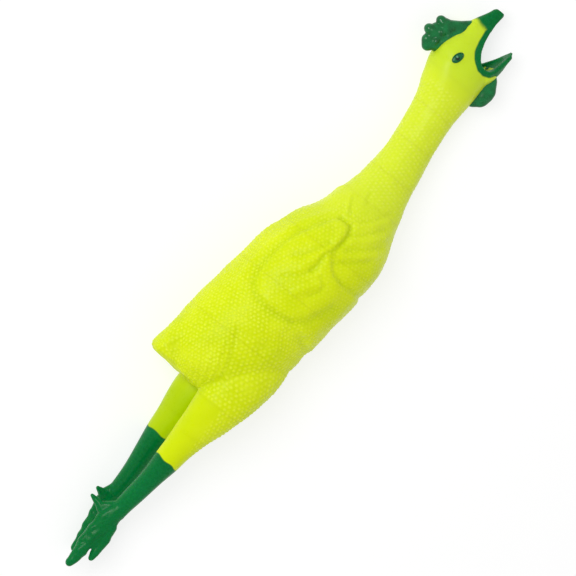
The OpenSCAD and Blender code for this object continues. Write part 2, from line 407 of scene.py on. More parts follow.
class Area(Enum):
    """Where a stretch of skin belongs."""

    RUMP = "rump_skin"
    LOIN = "loin_skin"
    WINGS = "wing_skin"
    BREAST = "breast_skin"
    NECK_BASE = "neck_base_skin"
    NECK_MID = "neck_middle_skin"
    NECK_TOP = "neck_top_skin"
    NAPE = "nape_skin"
    HEAD = "head_skin"
    BEAK = "upper_beak_paint"
    JAW = "lower_beak_skin"
    RIGHT_HIP = "right_hip_skin"
    RIGHT_THIGH = "right_thigh_skin"
    RIGHT_SHANK = "right_shank_paint"
    RIGHT_FOOT = "right_foot_paint"
    LEFT_HIP = "left_hip_skin"
    LEFT_THIGH = "left_thigh_skin"
    LEFT_SHANK = "left_shank_paint"
    LEFT_FOOT = "left_foot_paint"


@dataclass(frozen=True)
class Bend:
    """How a stretch of skin follows the bodies: one it rides on, or two that it lies between."""

    body: str
    far: str | None = None
    start: tuple[float, float, float] | None = None
    end: tuple[float, float, float] | None = None

    def attach(self, piece: bpy.types.Object) -> None:
        """Rides a piece on its body, or keeps a piece that lies between two bodies in place, unattached."""
        if self.far is None:
            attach(piece, self.body)
        else:
            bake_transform(piece)


def mm(point: tuple[float, float, float]) -> tuple[float, float, float]:
    """A point in millimetres, given in metres."""
    return tuple(c * MM for c in point)


def bend_x(body: str, far: str, start: float, end: float) -> Bend:
    """A bend whose share runs along X."""
    return Bend(body, far, (start, 0.0, 0.0), (end, 0.0, 0.0))


def leg_divide(x: np.ndarray) -> np.ndarray:
    """Height half-way between the two legs at each x."""
    return 36.5 + (x + 99.0) * 0.15


class Side(Enum):
    """Which leg a stretch of skin is on, or neither."""

    BOTH = "both"
    RIGHT = "right"
    LEFT = "left"

    def holds(self, x: np.ndarray, z: np.ndarray) -> np.ndarray:
        """Whether places in millimetres are on this side."""
        right = z > leg_divide(x)
        if self is Side.BOTH:
            return np.ones_like(right)
        return right if self is Side.RIGHT else np.logical_not(right)


@dataclass(frozen=True)
class Stretch:
    """One stretch of skin: where it starts, how it follows the bodies and what it stands for."""

    start: float
    bend: Bend
    nodes: tuple[str, ...] = ()
    side: Side = Side.BOTH
    slot: str = "vinyl"
    has_cut: bool = True


# How far a border's cut reaches to either side of it, in millimetres.
CUT_REACH = 4.0
RUMP_START = -95.5
HEAD_START = 192.0
# The jaw's skin lies below this y and beyond this x.
JAW_TOP = -19.5
JAW_BACK = 203.0


def leg_stretches(side: Side, starts: tuple[float, ...], knee: float, ankle: float) -> dict[Area, Stretch]:
    """The four stretches of one leg.

    Args:
        side: which leg.
        starts: where the thigh, the shank and the foot start.
        knee: where the knee's bend starts.
        ankle: where the ankle's bend starts.

    Returns:
        The hip, thigh, shank and foot.
    """
    name = side.value
    at_hip = bend_x("torso", f"{name}_thigh", -96, -109)
    at_knee = bend_x(f"{name}_thigh", f"{name}_shank", knee, knee - 22)
    at_ankle = bend_x(f"{name}_shank", f"{name}_foot", ankle, ankle - 11)
    thigh, shank, foot = starts
    green = "green_paint"
    return {
        Area[f"{side.name}_HIP"]: Stretch(RUMP_START, at_hip, side=side, has_cut=False),
        Area[f"{side.name}_THIGH"]: Stretch(thigh, at_knee, (f"{name}_thigh",), side),
        Area[f"{side.name}_SHANK"]: Stretch(shank, at_knee, (f"{name}_shank",), side, green),
        Area[f"{side.name}_FOOT"]: Stretch(foot, at_ankle, (f"{name}_foot", f"{name}_spur"), side, green),
    }


# Every stretch in order. The jaw's own borders are cut and told apart by the skin.
STRETCHES: dict[Area, Stretch] = {
    Area.RUMP: Stretch(RUMP_START, Bend("torso"), ("tail",)),
    Area.LOIN: Stretch(-48.0, Bend("torso"), ("torso_shell",)),
    Area.WINGS: Stretch(0.0, Bend("torso"), ("right_wing", "left_wing")),
    Area.BREAST: Stretch(40.0, Bend("torso")),
    Area.NECK_BASE: Stretch(85.0, bend_x("torso", "neck_lower", 86, 106), ("neck_lower",)),
    Area.NECK_MID: Stretch(110.0, bend_x("neck_lower", "neck_middle", 112, 136), ("neck_middle",)),
    Area.NECK_TOP: Stretch(138.0, bend_x("neck_middle", "neck_upper", 140, 164), ("neck_upper",)),
    Area.NAPE: Stretch(165.5, bend_x("neck_upper", "head", 167, 191)),
    Area.HEAD: Stretch(HEAD_START, Bend("head"), ("head_shell",)),
    Area.BEAK: Stretch(233.5, Bend("head"), ("upper_beak",), slot="green_paint"),
    Area.JAW: Stretch(
        300.0, bend_x("head", "jaw", 205, 219), ("lower_beak",), slot="green_paint", has_cut=False,
    ),
    **leg_stretches(Side.RIGHT, (-124.0, -150.0, -172.0), -139, -186),
    **leg_stretches(Side.LEFT, (-118.0, -138.0, -162.0), -127, -178),
}


@dataclass
class Foot:
    """A flat foot: palm, three toes with blunt claws and the spur at the back."""

    ankle: tuple[float, float, float]
    turn: float
    lean: float
    spur_height: float
    spur_lean: float
    upper_toe: float = 6.8

    def build(self, bm: bmesh.types.BMesh) -> None:
        """Adds the foot's solids."""
        part = bmesh.new()
        low = -self.lean
        add_chain(part, [
            Blob((0, 0, 0), (6, 6.4, 5.8)), Blob((-8, 1.4, low * 0.7), (6, 7.6, 5.6)),
            Blob((-15, 2.2, low), (6, 8.8, 5.2)), Blob((-22, 1.4, low), (5, 8.2, 4.8)),
        ])
        add_chain(part, [
            Blob((-22, 2.4, low), (6, 5.2, 4.8)), Blob((-31, 3.6, low), (4.4, 4.6, 4.4)),
            Blob((-36, 3.2, low), (4.2, 4.6, 4)), Blob((-43, 3.4, low), (4.6, 5.2, 4.4)),
            Blob((-49, 3.6, low), (3.6, 4.4, 3.6)), Blob((-54.2, 4.4, low), (3.4, 3.4, 3.2)),
        ])
        add_chain(part, [
            Blob((-17, -3.4, low), (5, 5, 4.6)), Blob((-27, -5.6, low + 0.6), (4.6, 4.4, 4)),
            Blob((-33, -5.8, low + 0.8), (3.8, 3.6, 3.4)), Blob((-38, -5.9, low + 1.0), (3.8, 3.4, 3.4)),
            Blob((-42.6, -6.3, low + 1.2), (2.6, 2.2, 2.3)),
        ])
        add_hull(part, [
            Blob((-24, -2, low), (4, 5, 4)), Blob((-34.6, -4.0, low), (3, 3.4, 3.2)),
            Blob((-34.6, 2, low), (3, 3, 3.4)),
        ])
        toe = self.upper_toe
        add_chain(part, [
            Blob((-16, toe - 3.0, low), (5, 4.4, 4.4)), Blob((-25, toe, low - 0.6), (4.4, 3.8, 3.8)),
            Blob((-30.5, toe - 0.1, low - 0.8), (3.3, 3, 3.2)), Blob((-36, toe, low - 1.0), (3.8, 3.3, 3.4)),
            Blob((-41.5, toe - 0.6, low - 1.2), (2.6, 2.3, 2.6)),
        ])
        self.add_spur(part)
        turn = Matrix.Translation(self.ankle) @ Matrix.Rotation(math.radians(self.turn), 4, "Z")
        bmesh.ops.transform(part, matrix=turn, verts=part.verts)
        copy_into(part, bm)
        part.free()

    def add_spur(self, part: bmesh.types.BMesh) -> None:
        """Adds the pointed spur, on a broad root."""
        low = -self.lean
        tall = self.spur_height
        waist = Blob((-9.2, tall * 0.52, low + self.spur_lean * 0.5), (3.8, 3.2, 3.0))
        add_hull(part, [Blob((-14, 3.0, low), (3.4, 4, 4)), Blob((-0.5, 1.5, low * 0.4), (3.8, 4, 4)), waist])
        add_hull(part, [waist, Blob((-7.0, tall - 1.4, low + self.spur_lean), (1.5, 1.4, 1.4))])


# ---------------------------------------------------------------- relief on the skin


@dataclass(frozen=True)
class Stroke:
    """One tooled line on a flank: a crease where the height is below 0, a swelling above."""

    line: tuple[tuple[float, float], ...]
    height: float
    width: float
    beads: float = 0.0

    def press(self, flat: np.ndarray) -> np.ndarray:
        """The stroke's height at each flank point."""
        d = distance_to_line(flat, list(self.line))
        shape = np.exp(-((d / self.width) ** 2))
        if self.beads:
            shape = shape * (0.62 + 0.38 * np.cos(2 * math.pi * (flat[:, 0] + 0.4 * flat[:, 1]) / self.beads))
        return self.height * shape


WING_OUTLINE = (
    (2, 23), (15, 22.8), (30, 20.6), (42, 16.6), (52, 11.6), (60, 6), (66, -1),
    (68, -8), (62, -12.4), (50, -12), (40, -12.6), (33, -19), (30, -29), (29.5, -60), (-22, -60),
    (-27, -42), (-17, -33), (-14, -20), (-16, -6), (-15.6, 6), (-12.4, 16), (-6, 21),
)
STROKES = (
    Stroke((
        (64, 1), (58, 7), (50, 12), (40, 17), (30, 20), (15, 22.4), (0, 22.4), (-8, 19.4), (-14, 12),
        (-16.4, 2), (-16, -9), (-13, -19), (-7, -26), (2, -31), (12, -34),
    ), -1.15, 3.8),
    Stroke(((-20, -30), (-22, -40), (-24, -50)), -0.6, 2.6),
    Stroke(((66, -1), (65, -10), (56, -13), (46, -11), (38, -7.4), (30, -8), (24, -7)), -1.35, 2.1),
    Stroke(((9, 6), (14, -0.5), (19, -5), (26, -8.6)), -0.6, 2.2),
    Stroke(((24, 9), (31, 3), (38, -2), (46, -5)), -0.6, 2.2),
    Stroke(((44, 14), (50, 8.6), (57, 6)), -0.55, 1.8),
    Stroke(((38, -17), (45, -26), (54, -36)), -0.6, 2.0),
    Stroke(((51, -18), (60, -29), (67, -36)), -0.6, 2.0),
    Stroke(((61, -14), (68, -22), (79, -30)), -0.55, 1.9),
    Stroke(((72, -14), (80, -21), (91, -26)), -0.4, 1.9),
    Stroke(((30.5, -22), (29.4, -34), (30, -48)), -0.7, 2.0),
    Stroke(((72, -3.6), (79, 0.6), (88, 5.4)), -0.45, 1.8),
    Stroke(((85, -8.4), (94, -4.6), (104, -0.6)), -0.35, 1.8),
    Stroke(((9, -17), (15, -20.6), (21, -20), (23.5, -15)), -0.6, 1.7),
    Stroke(((-91, 26), (-83, 31.5), (-76, 38), (-71, 45)), -0.55, 2.6),
    Stroke(((-97, 1), (-88, 0.6), (-76, -4), (-64, -3), (-52, 3), (-42, 7)), -0.45, 2.4),
    Stroke((
        (-14, 27.6), (0, 29.6), (15, 28.4), (30, 25.8), (45, 20.4), (56, 13.4), (65, 6), (72, 0),
    ), 1.1, 3.6),
    Stroke(((4, -7), (12, -11.4), (18.6, -16)), 1.1, 3.4),
    Stroke(((45, -18.5), (53, -29), (61, -37)), 0.7, 2.3),
    Stroke(((57, -15), (66, -26.5), (74, -33)), 0.8, 2.3),
    Stroke(((67, -12), (76, -21), (86, -28.6)), 0.6, 2.3),
    Stroke(((73, -0.6), (81, 3.8), (90, 8.2)), 0.8, 2.0),
    Stroke(((87, -5.2), (96, -1.4), (106, 2.2)), 0.45, 1.9),
    Stroke(((22, 0), (32, -3.6), (42, -7)), 0.6, 2.4),
    Stroke(((52, -7.6), (60, -6), (62, 1)), 0.8, 3.4),
    Stroke(((-97, 6.6), (-86, 9.6), (-75, 15.5)), 0.6, 1.1, 3.1),
    Stroke(((-97, 10.6), (-86, 14), (-77, 20)), 0.6, 1.1, 3.1),
    Stroke(((-97, 15), (-88, 18.4), (-80, 24)), 0.55, 1.1, 3.1),
    Stroke(((-95, 3.6), (-82, 5.6), (-68, 11.5)), 0.7, 1.2, 3.4),
    Stroke(((-84, 0.6), (-70, 3.6), (-55, 9.6)), 0.65, 1.3, 3.6),
    Stroke(((-78, -3), (-66, -0.6), (-52, 5.4)), 0.55, 1.3, 3.8),
)


@dataclass
class Relief:
    """Everything moulded into the skin, as heights along its normals in millimetres."""

    wing_height: float = 2.9
    pimple_height: float = 0.45
    scale_height: float = 0.28
    unevenness: float = 0.45
    seed: int = 7

    def apply(self, piece: bpy.types.Object) -> None:
        """Raises and sinks a skin's vertices, and flattens what lies on the floor."""
        points = points_mm(piece)
        normals = normals_of(piece)
        q = seen_height(points)
        flat = np.column_stack((points[:, 0] + 2.0, q))
        pimples = self.pimples(points, q)
        scales = self.scales(points)
        tooled = self.strokes(points, flat)
        height = self.wing(points, flat) + tooled + self.knuckles(points)
        height += self.unevenness * self.lumps(points, 9.0) * smoothstep(-96, -90, points[:, 0])
        height += self.pimple_height * pimples + self.scale_height * (scales - 0.3)
        points = points + normals * height[:, None]
        rest_on_floor(points)
        points[:, 0] = np.minimum(points[:, 0], BEAK_END)
        place_points(piece, points)
        # The pimple value also sets where painted highlights lighten the pimple and scale tops.
        store(piece, "pimple", np.maximum(pimples, 0.6 * scales))
        # The crease value also sets where painted shade darkens the tooled creases.
        store(piece, "crease", np.clip(-tooled / 1.1, 0.0, 1.0))

    @staticmethod
    def arc(points: np.ndarray) -> np.ndarray:
        """Arc from the widest line of a flank towards the back, for each vertex."""
        x, y, z = points.T
        row = BODY.at(np.clip(x, -92, 212))
        girth = BODY.at(np.clip(x, -55, 212))
        turn = np.arctan2((y - row[:, 0]) / row[:, 2], np.abs(z - row[:, 1]) / row[:, 3])
        return turn * (girth[:, 2] + girth[:, 3]) / 2

    @staticmethod
    def leg_arc(points: np.ndarray) -> np.ndarray:
        """Arc from the widest line of a leg towards the back, for each vertex."""
        x, y, z = points.T
        right, left = RIGHT_LEG.at(np.clip(x, -201, -60)), LEFT_LEG.at(np.clip(x, -193, -60))
        row = np.where((z > leg_divide(x))[:, None], right, left)
        return np.arctan2((y - row[:, 0]) / row[:, 2], np.abs(z - row[:, 1]) / row[:, 3]) * 18.0

    def wing(self, points: np.ndarray, flat: np.ndarray) -> np.ndarray:
        """The folded wing's raised form, highest along its rear and lower edges."""
        depth = inside_outline(flat, WING_OUTLINE)
        away = np.abs(points[:, 2] - FLANK_MID_Z)
        lower = smoothstep(-10, -34, flat[:, 1])
        crown = 0.72 + 0.28 * np.exp(-((np.maximum(depth, 0) / 14.0) ** 2))
        rise = smoothstep(-1.6, 3.6, depth) * smoothstep(0, 15, away)
        rise = rise * (1 - 0.5 * smoothstep(6, 29, flat[:, 0]) * smoothstep(24, 34, -flat[:, 1]))
        return self.wing_height * rise * crown * (0.82 + 0.18 * lower)

    def strokes(self, points: np.ndarray, flat: np.ndarray) -> np.ndarray:
        """Creases and swellings tooled into the flanks."""
        total = np.zeros(len(points))
        near = (flat[:, 0] > -99) & (flat[:, 0] < 112)
        away = smoothstep(2, 13, np.abs(points[near, 2] - FLANK_MID_Z))
        for stroke in STROKES:
            total[near] += stroke.press(flat[near]) * away
        return total * smoothstep(-95.4, -93.5, points[:, 0])

    def knuckles(self, points: np.ndarray) -> np.ndarray:
        """Soft lumps on the feet, as scutes and toe joints."""
        feet = 1 - smoothstep(-200, -192, points[:, 0])
        return 0.3 * feet * self.lumps(points, 3.0)

    def lumps(self, points: np.ndarray, size: float) -> np.ndarray:
        """Smooth uneven noise from -1 to 1 whose lumps are size millimetres wide."""
        grid = points / size
        cell = np.floor(grid)
        part = grid - cell
        part = part * part * (3 - 2 * part)
        total = np.zeros(len(points))
        for i in (0, 1):
            for j in (0, 1):
                for k in (0, 1):
                    weight = np.abs(1 - np.array((i, j, k)) - part).prod(axis=1)
                    row = cell[:, 0] + i + 57 * (cell[:, 2] + k)
                    total += weight * self.chance(row, cell[:, 1] + j, 3.0)
        return total * 2 - 1

    def chance(self, i: np.ndarray, j: np.ndarray, salt: float) -> np.ndarray:
        """A repeatable number from 0 to 1 for each cell of a lattice."""
        value = np.sin(i * 127.1 + j * 311.7 + salt * 74.7 + self.seed) * 43758.5453
        return value - np.floor(value)

    def domes(
        self, u: np.ndarray, v: np.ndarray, pitch: float, turn: float, stretch: float = 1.0
    ) -> np.ndarray:
        """Round domes on an uneven lattice of staggered rows.

        Args:
            u: distance along the skin.
            v: distance across it.
            pitch: the spacing of the domes.
            turn: how far the rows are turned, in degrees.
            stretch: how much longer a dome is along its row than across it.

        Returns:
            Heights from 0 to 1.
        """
        c, s = math.cos(math.radians(turn)), math.sin(math.radians(turn))
        a = (u * c + v * s) / (pitch * stretch)
        b = (v * c - u * s) / (pitch * 0.866)
        best = np.full(len(u), 9.0)
        size = np.ones(len(u))
        for dj in (-1, 0, 1):
            j = np.floor(b) + dj
            shift = 0.5 * np.mod(j, 2)
            for di in (-1, 0, 1):
                i = np.floor(a - shift) + di
                jog, jig = self.chance(i, j, 0.0), self.chance(i, j, 1.0)
                da = a - (i + shift + 0.5 + 0.34 * (jog - 0.5))
                db = (b - (j + 0.5 + 0.34 * (jig - 0.5))) * 0.866
                d = da * da + db * db
                size = np.where(d < best, 0.55 + 0.6 * jog, size)
                best = np.minimum(best, d)
        return size * np.clip(1 - best / 0.155, 0.0, 1.0) ** 1.1

    def pimples(self, points: np.ndarray, q: np.ndarray) -> np.ndarray:
        """Goose-pimples: close on the tail, wider on the rump and widest on the thighs."""
        x = points[:, 0]
        arc = self.arc(points)
        result = np.zeros(len(x))
        thigh = (1 - smoothstep(-46, -34, x)) * (1 - smoothstep(-3, 3, q))
        legs = 1 - smoothstep(-96, -92, x)
        low = smoothstep(17, 21, -q) * smoothstep(-140, -128, x)
        thigh = thigh * (1 - legs * (1 - low))
        tail = (1 - smoothstep(-84, -76, x)) * smoothstep(3, 8, q) * (1 - legs)
        trunk = (1 - smoothstep(70, 96, x)) * (1 - legs)
        quiet = 1 - 0.45 * smoothstep(-16, -8, x) * (1 - smoothstep(20, 24, q))
        body = trunk * quiet * (1 - tail) * (1 - thigh)
        arm = smoothstep(-10, 0, x) * (1 - smoothstep(60, 70, x)) * smoothstep(30, 34, q)
        on_leg = 1 - smoothstep(-76, -68, x)
        leg_arc = self.leg_arc(points)
        for share, across, pitch, turn in (
            (thigh * on_leg, leg_arc, 3.5, 31.0), (thigh * (1 - on_leg), arc, 3.6, 31.0),
            (tail, arc, 2.6, 22.0), (body, arc, 3.05, 38.0),
        ):
            some = share > 0.001
            result[some] += share[some] * self.domes(x[some], across[some], pitch, turn)
        return result * (1 + 0.3 * arm)

    def scales(self, points: np.ndarray) -> np.ndarray:
        """Slanted scales on the neck."""
        x = points[:, 0]
        share = smoothstep(72, 96, x) * (1 - smoothstep(180, 186, x))
        result = np.zeros(len(x))
        some = share > 0.001
        result[some] = share[some] * self.domes(x[some], self.arc(points[some]), 2.7, -52.0, 1.5)
        return result


def inside_outline(points: np.ndarray, outline: tuple[tuple[float, float], ...]) -> np.ndarray:
    """How far flat points lie inside a closed outline, below 0 outside it."""
    corners = list(outline) + [outline[0]]
    distance = distance_to_line(points, corners)
    inside = np.zeros(len(points), bool)
    for (ax, ay), (bx, by) in zip(corners[:-1], corners[1:]):
        crosses = (ay > points[:, 1]) != (by > points[:, 1])
        reach = ax + (points[:, 1] - ay) / (by - ay + 1e-12) * (bx - ax)
        inside ^= crosses & (points[:, 0] < reach)
    return np.where(inside, distance, -distance)


@dataclass
class Spray:
    """The green paint's edges, as a signed distance kept on the skin: above 0 is painted."""

    right_line: float = -148.6
    left_line: float = -137.4
    beak_line: float = 234.5
    rim_width: float = 4.7

    def apply(self, piece: bpy.types.Object) -> None:
        """Stores each vertex's paint distance, in units of the edge's softness, and the share of painted
        shade on the far leg.
        """
        points = points_mm(piece)
        x, y, z = points.T
        wobble = 0.35 * np.sin(y * 0.55 + 1.0) + 0.25 * np.sin(z * 0.7)
        line = np.where(z > leg_divide(x), self.right_line + 0.08 * (y + 9.6), self.left_line)
        legs = (line + wobble - x) / 0.5
        store(piece, "paint", np.where(x > 190, self.head(points), np.where(x < -90, legs, -9.0)))
        # Painted shade: the far (left) leg gets darker towards the body, where it lies below the near leg.
        painted_shade_share = (1 - smoothstep(-108, -80, x)) * smoothstep(0.0, 3.0, leg_divide(x) - z)
        store(piece, "far_leg", 0.85 * painted_shade_share)
        store(piece, "parting", np.abs(z - BODY.at(np.clip(x, -92, 212))[:, 1]) + np.where(x < -92, 9.0, 0.0))

    def head(self, points: np.ndarray) -> np.ndarray:
        """Paint distance on the head: the beaks, the rim of the mouth and its inside."""
        x, y, z = points.T
        slant = 0.3 * np.clip(y + 1.5, -9.0, 9.0)
        beak = (x - self.beak_line - slant + 0.3 * np.sin(y * 0.8)) / 2.2
        rim_line = [p for p in MOUTH_LINE if p[0] < 236]
        width = self.rim_width + 1.9 * np.exp(-(((x - 216.0) / 8.0) ** 2)) * smoothstep(-18, -13, y)
        rim = (width - distance_to_line(np.column_stack((x, y)), rim_line)) / 0.7
        row = BODY.at(np.clip(x, 150, 212))
        turn = ((y - row[:, 0]) / row[:, 2]) ** 2 + ((z - row[:, 1]) / row[:, 3]) ** 2
        side = np.abs(z - HEAD_MID_Z)
        gullet = (turn < 0.66) & (x > 202) & (x < 213.5)
        palate = (x >= 213.5) & (side < FACE.at(x)[:, 3] - 2.6) & (y < -6) & (y > -31)
        deep = np.where(gullet | palate, 3.0, -9.0)
        tongue = (x < 218.5) & (x > 206) & (y < -23.5) & (side < 7.5) & (turn < 0.87)
        jaw = np.clip((x - 215.0 + 0.3 * (y + 33)) / 0.8, -9.0, 3.0)
        jaw = np.where(y < -20, jaw, -9.0)
        green = np.maximum.reduce([beak, rim, deep, jaw])
        return np.where(tongue, -0.4, green)


@dataclass
class Skin:
    """The hollow moulding: torso, tail, wings, neck, head, beaks, legs and feet in one skin."""

    voxel: float = 0.5
    torso_rounds: int = 30
    nape_rounds: int = 16
    last_rounds: int = 5
    piece: bpy.types.Object | None = None

    def build(self) -> None:
        """Builds the fused and smoothed skin."""
        bm = bmesh.new()
        BODY.build(bm, -92, 92)
        self.tail(bm)
        RIGHT_LEG.build(bm, -201, -36)
        LEFT_LEG.build(bm, -193, -36)
        Foot((-194, -9.03, 34.7), 0.0, 1.0, 22.0, -6.0).build(bm)
        Foot((-186, -9.72, 9.7), 9.0, 3.0, 17.0, 5.0, upper_toe=5.6).build(bm)
        bm_head = bmesh.new()
        BODY.build(bm_head, 80, 212)
        FACE.build(bm_head, 186, 252.3)
        JAW.build(bm_head, 199, 235)
        self.lips(bm_head)
        head = make_object("head_form", bm_head)
        fuse(head, self.voxel)
        self.open_mouth(head)
        body = make_object("body_form", bm)
        bpy.ops.object.select_all(action="DESELECT")
        head.select_set(True)
        body.select_set(True)
        bpy.context.view_layer.objects.active = body
        bpy.ops.object.join()
        fuse(body, self.voxel)
        x = points_mm(body)[:, 0]
        relax(body, self.torso_rounds, (x > -96) & (x < 100))
        points = points_mm(body)
        nape = (points[:, 0] > 150) & (points[:, 0] < 211) & (points[:, 1] > -12)
        relax(body, self.nape_rounds, nape)
        relax(body, self.last_rounds)
        self.piece = body
        LOG.info("skin: %d faces", len(body.data.polygons))

    def tail(self, bm: bmesh.types.BMesh) -> None:
        """Adds the blunt tail stump and the vent under it."""
        add_hull(bm, [
            Blob((-86.6, 48.2, 37), (5.2, 4.8, 9.5)), Blob((-87.4, 32, 37), (4.6, 6, 14)),
            Blob((-88.5, 14, 37), (5.4, 8, 16)), Blob((-58, 42.6, 37), (6, 5, 13)),
            Blob((-58, 8, 37), (6, 6, 20)),
        ])
        add_hull(bm, [Blob((-89.2, 12, 42), (5.2, 9, 12)), Blob((-70, 10, 44), (6, 12, 22))])
        add_hull(bm, [Blob((-89.2, 12, 32), (5.2, 9, 12)), Blob((-70, 10, 30), (6, 12, 22))])

    def lips(self, bm: bmesh.types.BMesh) -> None:
        """Adds the rounded rim along both sides of the mouth."""
        upper = ((238, 5.0), (233, 6.6), (226, 9.4), (220, 12.2), (215, 14.4), (212.6, 15.2), (211.8, 15.3))
        lower = ((213, 14.9), (216.2, 12.8), (224, 8.2), (232, 3.4))
        for side in (-1, 1):
            chain = []
            for x, width in upper:
                y = float(np.interp(x, *zip(*sorted(UPPER_MOUTH))))
                chain.append(Blob((x - 1.6, y + 1.5, HEAD_MID_Z + side * (width - 1.5)), (2.2, 2.1, 2.2)))
            for x, width in lower:
                y = float(np.interp(x, *zip(*sorted(LOWER_MOUTH))))
                chain.append(Blob((x - 1.0, y - 1.6, HEAD_MID_Z + side * (width - 1.4)), (2.0, 2.0, 2.0)))
            add_chain(bm, chain)

    def open_mouth(self, head: bpy.types.Object) -> None:
        """Cuts the gape between the beaks and the hollow behind it."""
        bm = bmesh.new()
        base = [bm.verts.new((x, y, -12.0)) for x, y in MOUTH_LINE]
        face = bm.faces.new(base)
        grown = bmesh.ops.extrude_face_region(bm, geom=[face])
        up = [g for g in grown["geom"] if isinstance(g, bmesh.types.BMVert)]
        bmesh.ops.translate(bm, vec=(0, 0, 60), verts=up)
        bmesh.ops.recalc_face_normals(bm, faces=bm.faces)
        self.subtract(head, make_object("gape", bm))
        bm = bmesh.new()
        add_hull(bm, [
            Blob((210, -18, HEAD_MID_Z), (7, 8, 11)), Blob((216, -21, HEAD_MID_Z), (6, 8, 10.4)),
            Blob((226, -28.4, HEAD_MID_Z), (3, 2.6, 4.4)), Blob((222, -11, HEAD_MID_Z), (4, 3, 7.5)),
            Blob((219, -25.5, HEAD_MID_Z), (4, 4.4, 8)),
        ])
        self.subtract(head, make_object("throat", bm))

    @staticmethod
    def subtract(target: bpy.types.Object, tool: bpy.types.Object) -> None:
        """Cuts one closed object out of another, and deletes it."""
        modifier = target.modifiers.new("cut", "BOOLEAN")
        modifier.operation = "DIFFERENCE"
        modifier.solver = "MANIFOLD"
        modifier.object = tool
        apply_modifiers(target)
        bpy.data.objects.remove(tool)

    def dress(self, relief: Relief, spray: Spray) -> None:
        """Presses in the relief and lays out the paint."""
        relief.apply(self.piece)
        spray.apply(self.piece)
        store_places(self.piece, "moulded_at")

    def divide(self) -> dict[Area, bpy.types.Object]:
        """Cuts the skin where its stretches meet.

        Returns:
            The piece of each area, with the whole skin's normals along its borders.
        """
        self.cut_loops()
        normals = normals_of(self.piece)
        kept = self.piece.data.attributes.new("skin_normal", "FLOAT_VECTOR", "POINT")
        kept.data.foreach_set("vector", normals.astype(np.float32).ravel())
        areas = list(Area)
        index = self.area_of_faces(areas)
        mesh = self.piece.data
        mesh.materials.clear()
        for area in areas:
            mesh.materials.append(bpy.data.materials.new(area.value))
        mesh.polygons.foreach_set("material_index", index)
        before = set(bpy.data.objects)
        bpy.ops.object.select_all(action="DESELECT")
        self.piece.select_set(True)
        bpy.context.view_layer.objects.active = self.piece
        bpy.ops.object.mode_set(mode="EDIT")
        bpy.ops.mesh.separate(type="MATERIAL")
        bpy.ops.object.mode_set(mode="OBJECT")
        made = {}
        for piece in [self.piece] + [o for o in bpy.data.objects if o not in before]:
            used = piece.data.materials[piece.data.polygons[0].material_index]
            area = next(a for a in areas if used.name.split(".")[0] == a.value)
            self.finish_piece(piece, area)
            made[area] = piece
        for area in areas:
            stale = bpy.data.materials.get(area.value)
            if stale is not None:
                bpy.data.materials.remove(stale)
        return made

    @staticmethod
    def finish_piece(piece: bpy.types.Object, area: Area) -> None:
        """Names a piece and gives it the whole skin's normals."""
        piece.name = area.value
        piece.data.name = area.value
        piece.data.materials.clear()
        normals = read_vectors(piece.data.attributes["skin_normal"].data, "vector")
        piece.data.attributes.remove(piece.data.attributes["skin_normal"])
        shade_smooth(piece)
        piece.data.normals_split_custom_set_from_vertices(normals.tolist())

    def cut_loops(self) -> None:
        """Cuts an edge loop along every border between areas."""
        bm = bmesh.new()
        bm.from_mesh(self.piece.data)
        for stretch in STRETCHES.values():
            if stretch.has_cut:
                self.cut_across(bm, stretch)

        def near_top(c: Vector) -> bool:
            """Whether a face of the head lies by the jaw's upper border."""
            return c.x > (HEAD_START - 2.0) * MM and abs(c.y - JAW_TOP * MM) < CUT_REACH * MM

        def near_back(c: Vector) -> bool:
            """Whether a face lies by the jaw's rear border."""
            return abs(c.x - JAW_BACK * MM) < CUT_REACH * MM and c.y < JAW_TOP * MM

        self.bisect(bm, Vector((0, JAW_TOP * MM, 0)), Vector((0, 1, 0)), near_top)
        self.bisect(bm, Vector((JAW_BACK * MM, 0, 0)), Vector((1, 0, 0)), near_back)
        bm.to_mesh(self.piece.data)
        bm.free()

    def cut_across(self, bm: bmesh.types.BMesh, stretch: Stretch) -> None:
        """Cuts a loop where a stretch starts, on its own side only."""
        x = stretch.start * MM

        def near_start(c: Vector) -> bool:
            """Whether a face lies by the border, on the stretch's side."""
            return abs(c.x - x) < CUT_REACH * MM and stretch.side.holds(c.x / MM, c.z / MM)

        self.bisect(bm, Vector((x, 0, 0)), Vector((1, 0, 0)), near_start)

    @staticmethod
    def bisect(
        bm: bmesh.types.BMesh, at: Vector, normal: Vector, wanted: Callable[[Vector], bool]
    ) -> None:
        """Cuts some faces along a plane.

        Args:
            bm: the skin.
            at: a point on the plane.
            normal: the plane's normal.
            wanted: picks the faces to cut by their middles, in metres.
        """
        faces = [f for f in bm.faces if wanted(f.calc_center_median())]
        edges = list({e for f in faces for e in f.edges})
        verts = list({v for f in faces for v in f.verts})
        bmesh.ops.bisect_plane(
            bm, geom=faces + edges + verts, dist=1e-7, plane_co=at, plane_no=normal,
        )

    def area_of_faces(self, areas: list[Area]) -> np.ndarray:
        """Finds which area each face belongs to; a later stretch takes over from an earlier one.

        Args:
            areas: the areas, in the order of the answer's numbers.

        Returns:
            An index into the areas for each face.
        """
        x, y, z = (read_vectors(self.piece.data.polygons, "center") / MM).T
        index = np.zeros(len(x), np.int32)
        for area, stretch in STRETCHES.items():
            beyond = x > stretch.start if stretch.side is Side.BOTH else x <= stretch.start
            index[beyond & stretch.side.holds(x, z)] = areas.index(area)
        index[(x > JAW_BACK) & (y < JAW_TOP)] = areas.index(Area.JAW)
        return index


# ---------------------------------------------------------------- parts on the head


